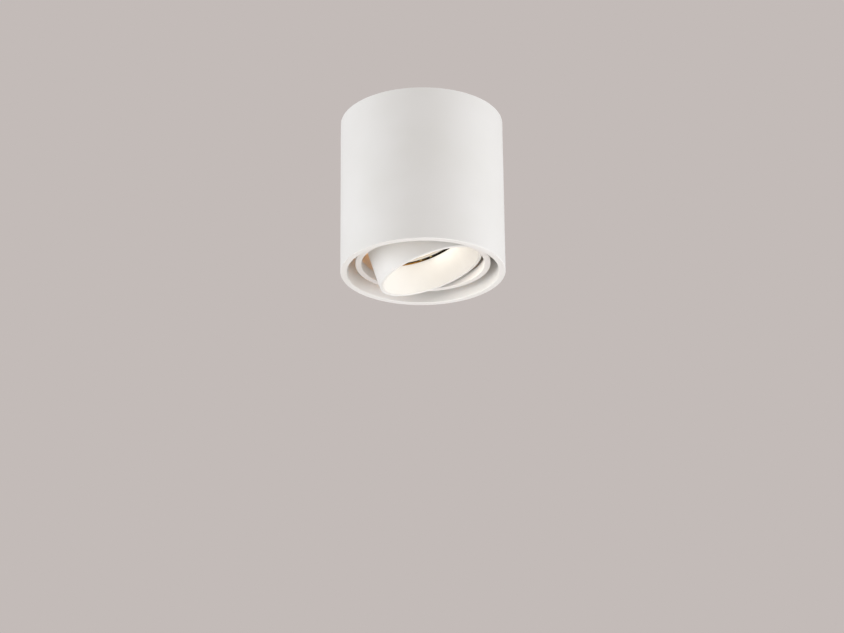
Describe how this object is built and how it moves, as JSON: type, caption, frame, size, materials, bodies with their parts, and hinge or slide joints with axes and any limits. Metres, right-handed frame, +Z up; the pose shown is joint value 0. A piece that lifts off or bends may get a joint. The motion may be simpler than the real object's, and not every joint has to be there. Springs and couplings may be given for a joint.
{
  "type": "surface mounted ceiling spotlight",
  "caption": "White cylindrical ceiling spotlight with a recessed lamp tube that tilts in a flat trim ring and turns with it inside the housing.",
  "frame": {"origin": "middle of the ceiling plate, in the plane that lies against the ceiling", "axes": "+Z up into the ceiling, -Y towards the viewer of the picture, +X to the picture's right, where the lamp tube's mouth leans"},
  "size_m": [0.096, 0.096, 0.1048],
  "materials": {
    "housing_paint": "fine matt powder coat on aluminium",
    "ring_paint": "matt powder coat on cast aluminium",
    "tube_paint": "matt powder coat on aluminium",
    "cone_paint": "smooth semi-matt white coat on spun aluminium",
    "painted_screw": "matt white coated socket screw",
    "zinc_plated_steel": "zinc plated sheet steel",
    "screw_steel": "zinc plated screw",
    "spring_steel": "oiled spring steel",
    "nickel_brass": "nickel plated brass",
    "contact_brass": "bare brass",
    "spring_brass": "bright rolled spring brass",
    "nylon": "natural nylon",
    "block_nylon": "moulded nylon",
    "sleeve_brown": "silicone sleeve",
    "sleeve_blue": "silicone sleeve",
    "sleeve_green": "silicone sleeve",
    "lamp_shell_plastic": "moulded heat-conducting plastic",
    "lamp_lens": "frosted, lit from behind",
    "board_aluminium": "white-masked aluminium board",
    "led_phosphor": "phosphor",
    "circuit_board": "glass-epoxy board",
    "cap_plastic": "moulded heat-proof plastic",
    "steatite": "unglazed technical ceramic"
  },
  "bodies": {
    "ceiling_base": {"base_plate": "zinc_plated_steel", "housing_shell": "housing_paint", "housing_side_screws": "painted_screw", "pan_nipple": "nickel_brass", "cable_bush": "nylon", "pan_lock_nut": "nickel_brass", "pan_spring_washer": "spring_steel", "pan_stop_rivet": "zinc_plated_steel"},
    "pan_frame": {"pan_friction_washer": "nylon", "yoke": "zinc_plated_steel", "trim_ring": "ring_paint", "yoke_leg_screws": "screw_steel", "terminal_block": "block_nylon", "terminal_contacts": "contact_brass", "terminal_screws": "screw_steel", "earth_tag": "contact_brass", "earth_screw": "screw_steel", "lead_live": "sleeve_brown", "lead_neutral": "sleeve_blue", "lead_earth": "sleeve_green"},
    "spot_head": {"spot_tube": "tube_paint", "tilt_screws": "screw_steel", "tilt_friction_washers": "nylon", "tilt_spring_washers": "spring_steel", "reflector_cone": "cone_paint", "lamp_retaining_ring": "spring_brass", "lamp_shell": "lamp_shell_plastic", "lamp_lens": "lamp_lens", "lamp_led_board": "board_aluminium", "lamp_led_chips": "led_phosphor", "lamp_driver_board": "circuit_board", "lamp_base_cap": "cap_plastic", "lamp_pins": "nickel_brass", "holder_body": "steatite", "holder_contacts": "contact_brass", "holder_screws": "screw_steel", "holder_bridge": "zinc_plated_steel", "bridge_screws": "screw_steel"}
  },
  "joints": [
    {"name": "pan", "type": "hinge", "parent": "ceiling_base", "child": "pan_frame", "pos_m": [0, 0, 0], "axis": [0, 0, 1], "range_deg": [-184.1, 165.9]},
    {"name": "tilt", "type": "hinge", "parent": "pan_frame", "child": "spot_head", "pos_m": [0, 0, -0.08049], "axis": [0.1582, -0.9874, 0], "range_deg": [-43.6, 6.4], "deforming": ["lead_live", "lead_neutral"]}
  ]
}
